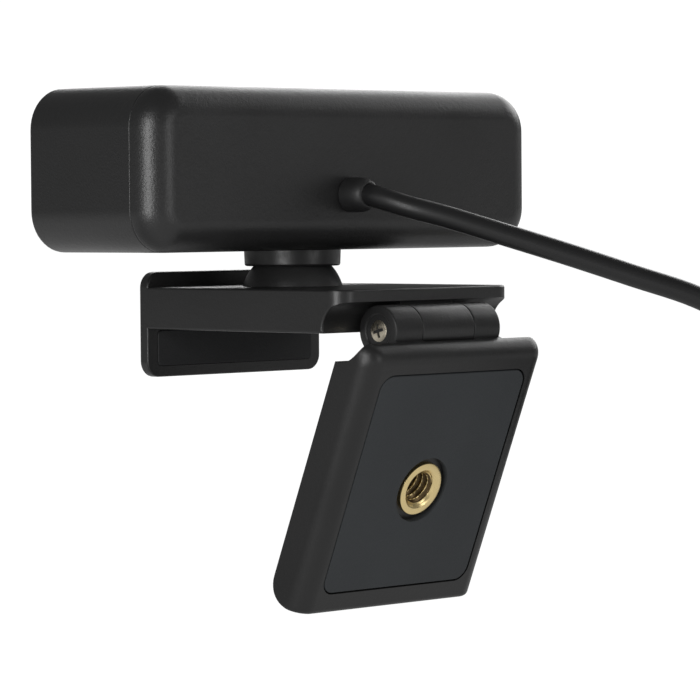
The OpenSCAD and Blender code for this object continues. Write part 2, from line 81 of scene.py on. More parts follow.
# ---------------------------------------------------------------- materials
class Nodes:
    """Short-hand for building a node material."""

    def __init__(self, name):
        self.m = bpy.data.materials.new(name)
        self.m.use_nodes = True
        self.t = self.m.node_tree
        self.t.nodes.clear()
        self.out = self.add("ShaderNodeOutputMaterial")
        self.b = self.add("ShaderNodeBsdfPrincipled")
        self.link(self.b.outputs["BSDF"], self.out.inputs["Surface"])
        self.coord = self.add("ShaderNodeTexCoord")

    def add(self, kind, **props):
        n = self.t.nodes.new(kind)
        for k, v in props.items():
            setattr(n, k, v)
        return n

    def link(self, a, b):
        self.t.links.new(a, b)

    def noise(self, scale, detail=3.0, rough=0.55, dist=0.0, stretch=None):
        n = self.add("ShaderNodeTexNoise")
        n.inputs["Scale"].default_value = scale
        n.inputs["Detail"].default_value = detail
        n.inputs["Roughness"].default_value = rough
        n.inputs["Distortion"].default_value = dist
        src = self.coord.outputs["Object"]
        if stretch:
            mp = self.add("ShaderNodeMapping")
            mp.inputs["Scale"].default_value = stretch
            self.link(src, mp.inputs["Vector"])
            src = mp.outputs["Vector"]
        self.link(src, n.inputs["Vector"])
        return n.outputs["Fac"]

    def voronoi(self, scale, feature="F1", randomness=1.0):
        n = self.add("ShaderNodeTexVoronoi", feature=feature)
        n.inputs["Scale"].default_value = scale
        n.inputs["Randomness"].default_value = randomness
        self.link(self.coord.outputs["Object"], n.inputs["Vector"])
        return n.outputs["Distance"]

    def ramp(self, fac, stops):
        r = self.add("ShaderNodeValToRGB")
        e = r.color_ramp.elements
        while len(e) < len(stops):
            e.new(0.5)
        for i, (p, c) in enumerate(stops):
            e[i].position = p
            e[i].color = (*c, 1.0) if len(c) == 3 else c
        self.link(fac, r.inputs["Fac"])
        return r.outputs["Color"]

    def remap(self, fac, a, b, c, d):
        n = self.add("ShaderNodeMapRange")
        for k, v in (("From Min", a), ("From Max", b), ("To Min", c), ("To Max", d)):
            n.inputs[k].default_value = v
        self.link(fac, n.inputs["Value"])
        return n.outputs["Result"]

    def math(self, op, a, b):
        n = self.add("ShaderNodeMath", operation=op)
        for i, v in enumerate((a, b)):
            if isinstance(v, (int, float)):
                n.inputs[i].default_value = v
            else:
                self.link(v, n.inputs[i])
        return n.outputs["Value"]

    def bump(self, height, strength, distance, base=None):
        n = self.add("ShaderNodeBump")
        n.inputs["Strength"].default_value = strength
        n.inputs["Distance"].default_value = distance
        self.link(height, n.inputs["Height"])
        if base is not None:
            self.link(base, n.inputs["Normal"])
        return n.outputs["Normal"]

    def set(self, **values):
        for k, v in values.items():
            s = self.b.inputs[k.replace("_", " ")]
            if isinstance(v, bpy.types.NodeSocket):
                self.link(v, s)
            else:
                s.default_value = v
        return self


def tinted(base, amount):
    return tuple(min(1.0, c * amount) for c in base)


def moulded(name, base, rough=0.5, grain=4200.0, bump=0.35, depth=0.00004, spec=0.5, vary=0.12):
    """Moulded plastic with a spark-eroded grain: fine pits, faint colour drift, patchy roughness."""
    n = Nodes(name)
    fine = n.noise(grain, 2.5, 0.6)
    coarse = n.noise(grain * 0.36, 2.0, 0.5)
    drift = n.noise(55.0, 3.0, 0.5)
    both = n.math("ADD", n.math("MULTIPLY", fine, 0.7), n.math("MULTIPLY", coarse, 0.45))
    n.set(
        Base_Color=n.ramp(n.math("ADD", n.math("MULTIPLY", drift, 0.5), n.math("MULTIPLY", fine, 0.5)), [
            (0.30, tinted(base, 1 - vary)), (0.70, tinted(base, 1 + vary))]),
        Roughness=n.remap(n.math("ADD", n.math("MULTIPLY", fine, 0.6), n.math("MULTIPLY", drift, 0.4)),
                          0.3, 0.7, rough - 0.06, rough + 0.07),
        Normal=n.bump(both, bump, depth),
        Specular_IOR_Level=spec,
        IOR=1.5,
    )
    return n.m


def smooth_plastic(name, base, rough=0.35, spec=0.5):
    n = Nodes(name)
    wob = n.noise(900.0, 2.0, 0.5)
    drift = n.noise(90.0, 3.0, 0.55)
    n.set(
        Base_Color=n.ramp(drift, [(0.3, tinted(base, 0.85)), (0.7, tinted(base, 1.15))]),
        Roughness=n.remap(wob, 0.3, 0.7, rough - 0.05, rough + 0.06),
        Normal=n.bump(wob, 0.10, 0.00002),
        Specular_IOR_Level=spec,
    )
    return n.m


def rubbery(name, base, rough=0.75, cell=2600.0, bump=0.5, depth=0.00005, sheen=0.0):
    """Soft rubber or closed-cell foam skin."""
    n = Nodes(name)
    cells = n.voronoi(cell)
    fine = n.noise(cell * 1.7, 2.0, 0.6)
    drift = n.noise(70.0, 3.0, 0.5)
    h = n.math("ADD", n.math("MULTIPLY", cells, 0.6), n.math("MULTIPLY", fine, 0.5))
    n.set(
        Base_Color=n.ramp(n.math("ADD", n.math("MULTIPLY", drift, 0.6), n.math("MULTIPLY", fine, 0.4)), [
            (0.30, tinted(base, 0.9)), (0.70, tinted(base, 1.1))]),
        Roughness=n.remap(fine, 0.3, 0.7, rough - 0.06, rough + 0.06),
        Normal=n.bump(h, bump, depth),
        Specular_IOR_Level=0.4,
        Sheen_Weight=sheen,
    )
    return n.m


def metal(name, base, rough=0.28, lathe_axis=None, scratch=0.25, dark=0.75):
    """Plated or turned metal with fine tool marks."""
    n = Nodes(name)
    stretch = {"x": (6000, 300, 300), "y": (300, 6000, 300), "z": (300, 300, 6000)}.get(lathe_axis)
    marks = n.noise(1.0 if stretch else 2200.0, 3.0, 0.6, 0.0, stretch)
    drift = n.noise(350.0, 3.0, 0.55)
    n.set(
        Base_Color=n.ramp(n.math("ADD", n.math("MULTIPLY", marks, 0.4), n.math("MULTIPLY", drift, 0.6)), [
            (0.3, tinted(base, dark)), (0.65, base)]),
        Metallic=1.0,
        Roughness=n.remap(marks, 0.3, 0.7, rough - 0.07, rough + 0.10),
        Normal=n.bump(marks, scratch, 0.00001),
    )
    return n.m


def glassy(name, tint, rough=0.03, alpha=0.5, coat=0.6):
    n = Nodes(name)
    dust = n.noise(1500.0, 3.0, 0.6)
    n.set(
        Base_Color=n.ramp(dust, [(0.35, tinted(tint, 0.85)), (0.7, tint)]),
        Roughness=n.remap(dust, 0.45, 0.75, rough, rough + 0.05),
        Transmission_Weight=alpha,
        IOR=1.5,
        Coat_Weight=coat,
        Coat_Roughness=0.02,
    )
    return n.m


def circuit(name):
    n = Nodes(name)
    brick = n.add("ShaderNodeTexBrick")
    brick.inputs["Scale"].default_value = 420.0
    brick.inputs["Mortar Size"].default_value = 0.06
    brick.inputs["Color1"].default_value = (0.008, 0.075, 0.032, 1)
    brick.inputs["Color2"].default_value = (0.010, 0.090, 0.040, 1)
    brick.inputs["Mortar"].default_value = (0.030, 0.165, 0.065, 1)
    mp = n.add("ShaderNodeMapping")
    mp.inputs["Rotation"].default_value = (math.radians(90), 0, 0)
    n.link(n.coord.outputs["Object"], mp.inputs["Vector"])
    n.link(mp.outputs["Vector"], brick.inputs["Vector"])
    n.set(Base_Color=brick.outputs["Color"], Roughness=n.remap(n.noise(900.0), 0.3, 0.7, 0.28, 0.42),
          Normal=n.bump(brick.outputs["Fac"], 0.2, 0.00003))
    return n.m


MAT = {
    "body": moulded("body_plastic", (0.0135, 0.0135, 0.0137), rough=0.35, grain=3000, bump=0.6, depth=0.0001),
    "clip": moulded("clip_plastic", (0.0140, 0.0140, 0.0141), rough=0.34, grain=3000, bump=0.5,
                    depth=0.00008),
    "leg": moulded("leg_plastic", (0.0130, 0.0130, 0.0131), rough=0.38, grain=3000, bump=0.5, depth=0.00008,
                   spec=0.42),
    # painted light: the dome plastic is twice as light as the body plastic, to make up for the shade it sits
    # in under the head
    "dome": moulded("dome_plastic_painted_light", (0.0270, 0.0270, 0.0272), rough=0.40, grain=3000, bump=0.4,
                    depth=0.00006),
    "black": smooth_plastic("smooth_black", (0.008, 0.008, 0.0085), 0.36),
    "collar": smooth_plastic("collar_plastic", (0.0110, 0.0110, 0.0112), 0.36),
    "pad": rubbery("pad_rubber", (0.030, 0.0335, 0.0365), 0.7),
    "foam": rubbery("lip_rubber", (0.020, 0.0205, 0.0215), 0.75),
    "jacket": rubbery("cable_jacket", (0.012, 0.012, 0.0124), 0.40, cell=3200, bump=0.12, depth=0.00003),
    "gland": smooth_plastic("gland_plastic", (0.013, 0.013, 0.0133), 0.5),
    "brass": metal("brass", (0.93, 0.74, 0.37), 0.30, "y", 0.12, 0.9),
    # painted shade: a dark brass for the thread inside the bore, standing in for the shade down there
    "thread": metal("brass_thread_painted_shade", (0.13, 0.09, 0.045), 0.36, None, 0.12, 0.7),
    "nickel": metal("nickel", (0.66, 0.60, 0.48), 0.26, None, 0.12, 0.8),
    "steel": metal("dark_steel", (0.32, 0.31, 0.30), 0.36, None, 0.3, 0.7),
    "window": smooth_plastic("front_window", (0.004, 0.004, 0.0045), 0.08),
    "lens": glassy("lens_glass", (0.10, 0.11, 0.16), 0.02, 0.6, 1.0),
    "filter": glassy("filter_glass", (0.35, 0.62, 0.58), 0.03, 0.6, 0.8),
    "clear": glassy("clear_plastic", (0.9, 0.94, 0.97), 0.12, 0.8, 0.0),
    "board": circuit("circuit_board"),
    "cream": smooth_plastic("cream_plastic", (0.74, 0.71, 0.62), 0.4),
    "chip": smooth_plastic("chip", (0.02, 0.024, 0.032), 0.22),
}


# ---------------------------------------------------------------- mesh helpers (millimetres in, metres out)
def ring_rrect(w, h, r, n=10):
    """Rounded rectangle as (a, b) pairs, counter-clockwise."""
    pts = []
    for cx, cy, a0 in ((w / 2 - r, h / 2 - r, 0), (-w / 2 + r, h / 2 - r, 90),
                       (-w / 2 + r, -h / 2 + r, 180), (w / 2 - r, -h / 2 + r, 270)):
        for i in range(n + 1):
            a = math.radians(a0 + 90.0 * i / n)
            pts.append((cx + r * math.cos(a), cy + r * math.sin(a)))
    return pts


def loft(bm, rings, cap_start=True, cap_end=True):
    """Joins rings of points, all of one count, into a closed skin."""
    vs = [[bm.verts.new(Vector(p) * MM) for p in ring] for ring in rings]
    n = len(vs[0])
    for a, b in zip(vs, vs[1:]):
        for i in range(n):
            j = (i + 1) % n
            bm.faces.new((a[i], a[j], b[j], b[i]))
    if cap_start:
        bm.faces.new(vs[0][::-1])
    if cap_end:
        bm.faces.new(vs[-1])
    return vs


def lathe(bm, profile, axis, origin=(0, 0, 0), n=64, radius=None):
    """Turns a closed (r, s) profile about an axis through origin. Points at r 0 close the ends."""
    o = Vector(origin)
    ax = {"x": (Vector((1, 0, 0)), Vector((0, 1, 0)), Vector((0, 0, 1))),
          "y": (Vector((0, 1, 0)), Vector((0, 0, 1)), Vector((1, 0, 0))),
          "z": (Vector((0, 0, 1)), Vector((1, 0, 0)), Vector((0, 1, 0)))}[axis]
    rows = []
    for r, s in profile:
        if r <= 1e-9:
            rows.append([bm.verts.new((o + ax[0] * s) * MM)])
            continue
        row = []
        for i in range(n):
            a = 2 * math.pi * i / n
            rr = radius(r, s, a) if radius else r
            row.append(bm.verts.new((o + ax[0] * s + (ax[1] * math.cos(a) + ax[2] * math.sin(a)) * rr) * MM))
        rows.append(row)
    ends_open = len(rows[0]) > 1 and len(rows[-1]) > 1
    pairs = list(zip(rows, rows[1:])) + ([(rows[-1], rows[0])] if ends_open else [])
    for a, b in pairs:
        for i in range(n):
            j = (i + 1) % n
            if len(a) == 1:
                bm.faces.new((a[0], b[j], b[i]))
            elif len(b) == 1:
                bm.faces.new((a[i], a[j], b[0]))
            else:
                bm.faces.new((a[i], a[j], b[j], b[i]))


def fillet(a, b, c, r, n=4):
    """Rounds the corner b between a and c of a 2-D outline."""
    a, b, c = Vector(a), Vector(b), Vector(c)
    u, v = (a - b).normalized(), (c - b).normalized()
    half = math.acos(max(-1, min(1, u.dot(v)))) / 2
    if r <= 0 or half > math.radians(89.5):
        return [tuple(b)]
    t = min(r / math.tan(half), (a - b).length * 0.49, (c - b).length * 0.49)
    r = t * math.tan(half)
    centre = b + (u + v).normalized() * (r / math.sin(half))
    p0, p1 = b + u * t, b + v * t
    d0, d1 = p0 - centre, p1 - centre
    total = d0.angle(d1)
    out = []
    for i in range(n + 1):
        k = i / n
        w0, w1 = math.sin((1 - k) * total) / math.sin(total), math.sin(k * total) / math.sin(total)
        out.append(tuple(centre + d0 * w0 + d1 * w1))
    return out


def raw_object(name, bm):
    bmesh.ops.recalc_face_normals(bm, faces=bm.faces[:])
    me = bpy.data.meshes.new(name)
    bm.to_mesh(me)
    bm.free()
    o = bpy.data.objects.new(name, me)
    scene.collection.objects.link(o)
    return o


def cut(base, tools, operation="DIFFERENCE"):
    """Exact boolean with each tool in turn; the tools are removed."""
    for t in tools:
        m = base.modifiers.new("b", "BOOLEAN")
        m.operation = operation
        m.solver = "EXACT"
        m.object = t
        dg = bpy.context.evaluated_depsgraph_get()
        me = bpy.data.meshes.new_from_object(base.evaluated_get(dg))
        base.modifiers.clear()
        old = base.data
        base.data = me
        bpy.data.meshes.remove(old)
        bpy.data.objects.remove(t)
    return base


def dress(o, body, mat, nodes=(), angle=32.0, weld=0.00001, weight=50):
    """Clean the mesh, set shading, material and body, and hide the CAD nodes given."""
    bm = bmesh.new()
    bm.from_mesh(o.data)
    bmesh.ops.remove_doubles(bm, verts=bm.verts[:], dist=weld)
    bmesh.ops.dissolve_degenerate(bm, edges=bm.edges[:], dist=weld * 0.5)
    bmesh.ops.recalc_face_normals(bm, faces=bm.faces[:])
    lim = math.radians(angle)
    for f in bm.faces:
        f.smooth = True
    for e in bm.edges:
        e.smooth = len(e.link_faces) == 2 and e.calc_face_angle(0.0) < lim
    bm.to_mesh(o.data)
    bm.free()
    o.data.materials.clear()
    o.data.materials.append(mat)
    w = o.modifiers.new("weighted", "WEIGHTED_NORMAL")
    w.keep_sharp = True
    w.weight = weight
    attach(o, body)
    if nodes:
        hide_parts(*nodes)
    return o


def rod(axis, r, a, b, at=(0, 0, 0), n=48, name="tool"):
    bm = bmesh.new()
    lathe(bm, [(0, a), (r, a), (r, b), (0, b)], axis, at, n)
    return raw_object(name, bm)


def block(lo, hi, name="tool"):
    bm = bmesh.new()
    (x0, y0, z0), (x1, y1, z1) = lo, hi
    loft(bm, [[(x0, y0, z), (x1, y0, z), (x1, y1, z), (x0, y1, z)] for z in (z0, z1)])
    return raw_object(name, bm)


def slab_y(outline, y0, y1, r0=0.0, r1=0.0, steps=4, name="tool"):
    """Plate between y0 and y1; outline(inset) gives (x, z) pairs; the rims are rounded by r0 and r1."""
    rings = []
    turns = [math.radians(90.0 * i / steps) for i in range(steps + 1)]
    for a in turns if r0 > 0 else [None]:
        k, d = (0, 0) if a is None else (r0 * (1 - math.sin(a)), r0 * (1 - math.cos(a)))
        rings.append([(x, y0 + d, z) for x, z in outline(k)])
    for a in turns[::-1] if r1 > 0 else [None]:
        k, d = (0, 0) if a is None else (r1 * (1 - math.sin(a)), r1 * (1 - math.cos(a)))
        rings.append([(x, y1 - d, z) for x, z in outline(k)])
    bm = bmesh.new()
    loft(bm, rings)
    return raw_object(name, bm)


def rect_outline(w, h, r, x=0.0, z=0.0, n=10):
    return lambda k: [(x + a, z + b) for a, b in ring_rrect(w - 2 * k, h - 2 * k, max(r - k, 0.05), n)]


# ---------------------------------------------------------------- cord
GLAND_X, GLAND_Z = 0.8, 23.4
CORD_D = 3.9
FLOOR_Z = -47.9
COIL_AT = (-91.0, 55.5)
LEAD = [
    (GLAND_X, 4, GLAND_Z), (GLAND_X, 12, GLAND_Z), (GLAND_X, 19, GLAND_Z), (GLAND_X, 22.6, 22.8),
    (-1.2, 27.4, 21.2), (-5.5, 32.5, 19.4), (-12, 39, 16.5), (-20, 47, 12.9), (-28, 55, 9.1),
    (-36, 63, 5.2), (-43, 68.2, 0.2), (-49, 71.2, -8), (-54, 72.8, -18), (-58.5, 73.8, -28),
    (-63.5, 74.9, -37.5), (-69, 76.2, -43.9), (-74.5, 78, -45.9), (-79, 80, -45.9),
    (-82, 80.7, -45.9), (-85.3, 80.2, -45.9), (-88.5, 79.3, -45.9), (-91, 78.9, -45.9),
]
TAIL = [
    (-77.2, 69.3, -34.25), (-82.8, 73.2, -33.7), (-89.3, 74.9, -31.9), (-95.2, 74.1, -30.1),
    (-98.7, 71.4, -29), (-100.7, 67.6, -28.6), (-101, 65, -28.55), (-101, 62.5, -28.55),
]


def smooth_path(p, steps):
    out = []
    for i in range(len(p) - 1):
        near = (p[max(i - 1, 0)], p[i], p[i + 1], p[min(i + 2, len(p) - 1)])
        a, b, c, d = (Vector(q) for q in near)
        for k in range(steps):
            t = k / steps
            out.append(0.5 * (2 * b + (c - a) * t + (2 * a - 5 * b + 4 * c - d) * t * t
                              + (3 * b - a - 3 * c + d) * t ** 3))
    out.append(Vector(p[-1]))
    return out


def coil_path():
    """Three columns of turns, laid row on row. Each turn steps to the next place near its end."""
    radii = [23.4, 19.5, 15.6]
    cells = []
    for row in range(4):
        cols = radii if row % 2 == 0 else radii[::-1]
        cells += [(r, FLOOR_Z + CORD_D * (row + 0.5)) for r in cols]
    out = []
    total = 10 * 360 + 315
    step = 5
    for d in range(step, total, step):
        k, phi = divmod(d, 360)
        w = min(1.0, max(0.0, (phi - 360 + 26 * (k + 1)) / 26.0))
        w = w * w * (3 - 2 * w)
        (r0, z0), (r1, z1) = cells[k], cells[k + 1]
        r, z = r0 + (r1 - r0) * w, z0 + (z1 - z0) * w
        a = math.radians(90 + d)
        out.append(Vector((COIL_AT[0] + r * math.cos(a), COIL_AT[1] + r * math.sin(a), z)))
    return out


def make_cord():
    pts = smooth_path(LEAD, 6) + coil_path() + smooth_path(TAIL, 5)
    cu = bpy.data.curves.new("usb_lead", "CURVE")
    cu.dimensions = "3D"
    cu.bevel_depth = CORD_D / 2 * MM
    cu.bevel_resolution = 5
    cu.use_fill_caps = True
    sp = cu.splines.new("POLY")
    sp.points.add(len(pts) - 1)
    for q, p in zip(sp.points, pts):
        q.co = (*(p * MM), 1.0)
    sp.use_smooth = True
    o = bpy.data.objects.new("usb_lead", cu)
    scene.collection.objects.link(o)
    cu.materials.append(MAT["jacket"])
    length = sum((b - a).length for a, b in zip(pts, pts[1:])) * MM
    print("cord length", round(length, 4))
    return o, length


CORD, CORD_LEN = make_cord()
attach(CORD, "head")
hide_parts("usb_cable", "cable_coil", "cable_tail")


# ---------------------------------------------------------------- head
HEAD_W, HEAD_H, HEAD_R, HEAD_MID = 95.4, 28.2, 7.2, 27.9
Y_FRONT, Y_SEAM, Y_BACK = -16.15, 9.45, 15.15
REAR_R, WALL = 5.4, 1.8


def head_outline(k, n=12):
    return [(a, HEAD_MID + b) for a, b in ring_rrect(HEAD_W - 2 * k, HEAD_H - 2 * k, HEAD_R - k, n)]


def make_front_housing():
    o = slab_y(head_outline, Y_FRONT, Y_SEAM, 1.1, 0.2, 5, "housing_front")
    cavity = slab_y(lambda k: head_outline(WALL), Y_FRONT + 2.2, Y_SEAM + 1)
    recess = slab_y(rect_outline(89.4, 22.2, 4.2, 0, HEAD_MID), Y_FRONT - 1, Y_FRONT + 1.05)
    tools = [cavity, recess, rod("y", 8.0, Y_FRONT - 1, 0, (0, 0, HEAD_MID), 96)]
    tools += [rod("y", 0.6, Y_FRONT - 1, 0, (x, 0, HEAD_MID), 24) for x in (-22, 22)]
    tools += [rod("y", 1.05, Y_FRONT - 1, 0, (14.5, 0, HEAD_MID), 24), rod("z", 1.55, 10, HEAD_MID, n=32)]
    cut(o, tools)
    posts = [rod("y", 2.6, Y_FRONT + 2.0, -3, (x, 0, HEAD_MID + z), 32)
             for x in (-31, 31) for z in (-7.5, 7.5)]
    cut(o, posts, "UNION")
    cut(o, [rod("y", 0.85, -10, -2, (x, 0, HEAD_MID + z), 24) for x in (-31, 31) for z in (-7.5, 7.5)])
    return dress(o, "head", MAT["body"], ["front_housing"])


def make_rear_cover():
    turns = [math.radians(90.0 * i / 14) for i in range(15)]
    rings = [[(x, Y_SEAM + 0.2 * (1 - math.cos(a)), z) for x, z in head_outline(0.2 * (1 - math.sin(a)))]
             for a in turns[::4]]
    rings += [[(x, Y_BACK - REAR_R + REAR_R * math.sin(a), z)
               for x, z in head_outline(REAR_R * (1 - math.cos(a)))] for a in turns]
    bm = bmesh.new()
    loft(bm, rings)
    o = raw_object("housing_rear", bm)
    cut(o, [slab_y(lambda k: head_outline(WALL + 0.05), Y_SEAM - 2, Y_SEAM + 0.6)], "UNION")
    inner = REAR_R - WALL
    rings = [[(x, y, z) for x, z in head_outline(3.05)] for y in (Y_SEAM - 3, Y_SEAM + 0.4)]
    rings += [[(x, Y_BACK - REAR_R + inner * math.sin(a), z)
               for x, z in head_outline(WALL + inner * (1 - math.cos(a)))] for a in turns[::2]]
    bm = bmesh.new()
    loft(bm, rings)
    cut(o, [raw_object("tool", bm), rod("y", 2.5, 8, Y_BACK + 1, (GLAND_X, 0, GLAND_Z), 40)])
    return dress(o, "head", MAT["body"], ["rear_cover"])


def make_window():
    o = slab_y(rect_outline(89.2, 22.0, 4.1, 0, HEAD_MID), Y_FRONT, Y_FRONT + 1, 0.15, 0, 3, "camera_window")
    cut(o, [rod("y", 8.0, -20, 0, (0, 0, HEAD_MID), 96)]
        + [rod("y", 0.5, -20, 0, (x, 0, HEAD_MID), 24) for x in (-22, 22)])
    return dress(o, "head", MAT["window"], ["front_window"])


def make_lens_ring():
    y = Y_FRONT
    prof = [(7.9, y + 2.2), (7.9, y - 0.25), (7.83, y - 0.42), (7.65, y - 0.52), (7.4, y - 0.55),
            (6.9, y - 0.55), (6.75, y - 0.5), (6.62, y - 0.38)]
    r, s = 6.6, y - 0.38
    while r > 4.5:
        prof += [(r, s + 0.06), (r - 0.22, s + 0.10), (r - 0.22, s + 0.22)]
        r, s = r - 0.26, s + 0.22
    prof += [(4.3, s + 0.1), (4.3, y + 2.2)]
    bm = bmesh.new()
    lathe(bm, prof, "y", (0, 0, HEAD_MID), 96)
    return dress(raw_object("lens_surround", bm), "head", MAT["black"], ["lens_ring"])


def make_front_lens():
    prof = [(0, Y_FRONT + 0.9)]
    for i in range(1, 11):
        r = 4.2 * i / 10
        prof.append((r, Y_FRONT + 12.9 - math.sqrt(144 - r * r)))
    prof += [(4.25, prof[-1][1] + 0.08), (4.25, -13.93), (0, -13.93)]
    bm = bmesh.new()
    lathe(bm, prof, "y", (0, 0, HEAD_MID), 64)
    return dress(raw_object("lens_front", bm), "head", MAT["lens"], ["front_lens"])


def make_collar():
    arc = []
    for i in range(13):
        z = 13.8 - (13.8 - 10.95) * i / 12
        arc.append((math.sqrt(9.29 ** 2 - (z - 4.87) ** 2), z))
    prof = arc + [(8.12, 10.95), (8.32, 11.01), (8.45, 11.15), (8.5, 11.35), (8.59, 13.6), (8.6, 13.8)]
    bm = bmesh.new()
    lathe(bm, prof, "z", (0, 0, 0), 96)
    return dress(raw_object("neck_collar", bm), "head", MAT["collar"], ["swivel_collar"])


def make_gland():
    r0 = CORD_D / 2 + 0.03
    y = Y_BACK
    prof = [(r0, y - 3.2), (4.0, y - 3.2), (4.0, y - 1.82), (2.45, y - 1.82), (2.45, y + 0.02),
            (2.92, y + 0.02), (3.02, y + 0.07), (3.05, y + 0.16), (3.05, y + 1.8), (3.02, y + 2.6),
            (2.96, y + 3.2), (2.86, y + 3.7), (2.7, y + 4.15), (2.5, y + 4.5), (2.3, y + 4.7),
            (2.12, y + 4.78), (r0, y + 4.8)]
    bm = bmesh.new()
    lathe(bm, prof, "y", (GLAND_X, 0, GLAND_Z), 64)
    return dress(raw_object("cable_gland", bm), "head", MAT["gland"], ["strain_relief"])


# ---------------------------------------------------------------- plug and tie
def make_plug():
    px, py, pz = -101.0, 62.5, -28.55
    prof = [(0, 0), (2.2, 0), (2.45, -0.2), (2.5, -0.5)]
    for k in range(4):
        s = -0.9 - 1.6 * k
        w = 0.12 * k
        prof += [(2.5 + w, s), (2.15 + w, s - 0.18), (2.15 + w, s - 0.75), (2.58 + w, s - 0.93)]
    prof += [(3.25, -7.6), (3.6, -8.4), (0, -8.4)]
    bm = bmesh.new()
    lathe(bm, prof, "y", (px, py, pz), 48)
    boot = raw_object("plug_moulding", bm)
    body = slab_y(rect_outline(12, 7.4, 1.6, px, pz), py - 27, py - 8, 0.5, 0.9, 5)
    cut(boot, [body], "UNION")
    grips = []
    for k in range(5):
        for sx in (-1, 1):
            x, y = px + sx * 6.15, py - 12.5 - 2.2 * k
            grips.append(block((x - 0.45, y - 0.45, pz - 2.6), (x + 0.45, y + 0.45, pz + 2.6)))
    cut(boot, grips)
    dress(boot, "head", MAT["black"], ["plug_body"])
    shell = slab_y(rect_outline(12, 4.5, 0.5, px, pz), py - 39, py - 27, 0.0, 0, 3, "plug_sleeve")
    tools = [slab_y(rect_outline(11.4, 3.9, 0.35, px, pz), py - 40, py - 27.5)]
    tools += [block((px + x - 1.1, py - 33.2, pz - 4), (px + x + 1.1, py - 31, pz + 4)) for x in (-2.6, 2.6)]
    cut(shell, tools)
    dress(shell, "head", MAT["nickel"], ["plug_shell"])
    tongue = block((px - 5.6, py - 38.4, pz + 0.1), (px + 5.6, py - 27.6, pz + 1.9), "plug_tongue")
    dress(tongue, "head", MAT["cream"], ["plug_insert"])
    return boot, shell, tongue


def make_tie():
    """Flat strap round the coil's section."""
    a = math.radians(300)
    out = Vector((math.cos(a), math.sin(a), 0))
    along = Vector((-math.sin(a), math.cos(a), 0))
    c = Vector((COIL_AT[0], COIL_AT[1], FLOOR_Z)) + out * 19.5
    half, high, t = 5.85 + 0.12, 15.6, 0.55
    section = ring_rrect(2 * half + t, high + 0.3 + t, 1.6, 6)
    inner = ring_rrect(2 * half, high + 0.3, 1.3, 6)
    mid = high / 2
    rows = [(section, 1.75), (section, 2.0), (inner, 2.0), (inner, -2.0), (section, -2.0), (section, -1.75)]
    bm = bmesh.new()
    vs = []
    for pts, w in rows:
        vs.append([bm.verts.new((c + out * x + Vector((0, 0, mid + z)) + along * w) * MM) for x, z in pts])
    n = len(section)
    for a_, b_ in zip(vs, vs[1:] + vs[:1]):
        for i in range(n):
            j = (i + 1) % n
            bm.faces.new((a_[i], a_[j], b_[j], b_[i]))
    o = raw_object("coil_tie", bm)
    return dress(o, "head", MAT["black"], ["cable_tie"])


# ---------------------------------------------------------------- clip
HY, HZ = 33.35, 0.3
CLIP_W, BLOCK_H, LIP_F, LIP_IN, BLOCK_B = 43.2, 7.4, -16.8, -14.6, 33.0


def clip_profile(k, back):
    """Side outline of the block in (Y, Z), shrunk by k, with its rear edge at back."""
    r = 5.0 + k
    y0 = HY - math.sqrt(r * r - (HZ - k) ** 2)
    a0 = math.atan2(k - HZ, y0 - HY)
    b = back - k
    a1 = math.atan2(math.sqrt(r * r - (b - HY) ** 2), b - HY)
    if a0 < 0:
        a0 += 2 * math.pi
    turns = [a0 + (a1 - a0) * i / 14 for i in range(15)]
    arc = [(HY + r * math.cos(a), HZ + r * math.sin(a)) for a in turns]
    top = BLOCK_H - k
    edge = 0.45
    rim = [(b - edge + edge * math.cos(math.radians(q)), top - edge + edge * math.sin(math.radians(q)))
           for q in (0, 22.5, 45, 67.5, 90)]
    return [(-16.0, k)] + arc + rim + [(-16.0, top)]


def make_clip():
    hw = CLIP_W / 2
    rc, rim = 3.5, 0.4
    rings = []
    offs = [rim * (1 - math.cos(math.radians(q))) for q in (0, 30, 60, 90)] + [
        rc * (1 - math.cos(math.radians(q))) for q in range(34, 91, 8)]
    for d in offs:
        k = rim - math.sqrt(max(0.0, rim * rim - (rim - d) ** 2)) if d < rim else 0.0
        back = BLOCK_B - (rc - math.sqrt(max(0.0, rc * rc - (rc - d) ** 2))) if d < rc else BLOCK_B
        rings.append((hw - d, clip_profile(k, back + k)))
    full = [(x, p) for x, p in rings] + [(-x, p) for x, p in rings[::-1]]
    bm = bmesh.new()
    loft(bm, [[(x, y, z) for y, z in p] for x, p in full])
    o = raw_object("monitor_clip", bm)
    lip_z, lip_h = (BLOCK_H + 2.7 - 8.5) / 2, BLOCK_H + 2.7 + 8.5
    lip = slab_y(rect_outline(CLIP_W, lip_h, 2.8, 0, lip_z, 8), LIP_F, LIP_IN, 0.5, 0.35, 4)
    bm = bmesh.new()
    kx = 12.9 / 2
    prof = [(0, -kx), (4.15, -kx), (4.32, -kx + 0.07), (4.4, -kx + 0.25), (4.4, kx - 0.25),
            (4.32, kx - 0.07), (4.15, kx), (0, kx)]
    lathe(bm, prof, "x", (0, HY, HZ), 72)
    knuckle = raw_object("tool", bm)
    bm = bmesh.new()
    prof = [(27.6, 0.05), (HY, 0.05), (HY - 0.9, HZ + 4.28), (31.9, 5.7), (27.6, 5.7)]
    loft(bm, [[(x, y, z) for y, z in prof] for x in (-kx, kx)])
    bridge = raw_object("tool", bm)
    cut(o, [lip, knuckle, bridge], "UNION")
    tools = [rod("x", 1.54, -30, 30, (0, HY, HZ), 40), rod("z", 8.94, 3, 9, n=96),
             rod("z", 11.1, 1.5, 4.95, n=96), rod("z", 13.5, -1, 1.7, n=96),
             slab_y(rect_outline(38.6, 6.4, 1, 0, -3.4), LIP_IN - 0.8, LIP_IN + 1)]
    cut(o, tools)
    return dress(o, "clip", MAT["clip"], ["clip_bracket"])


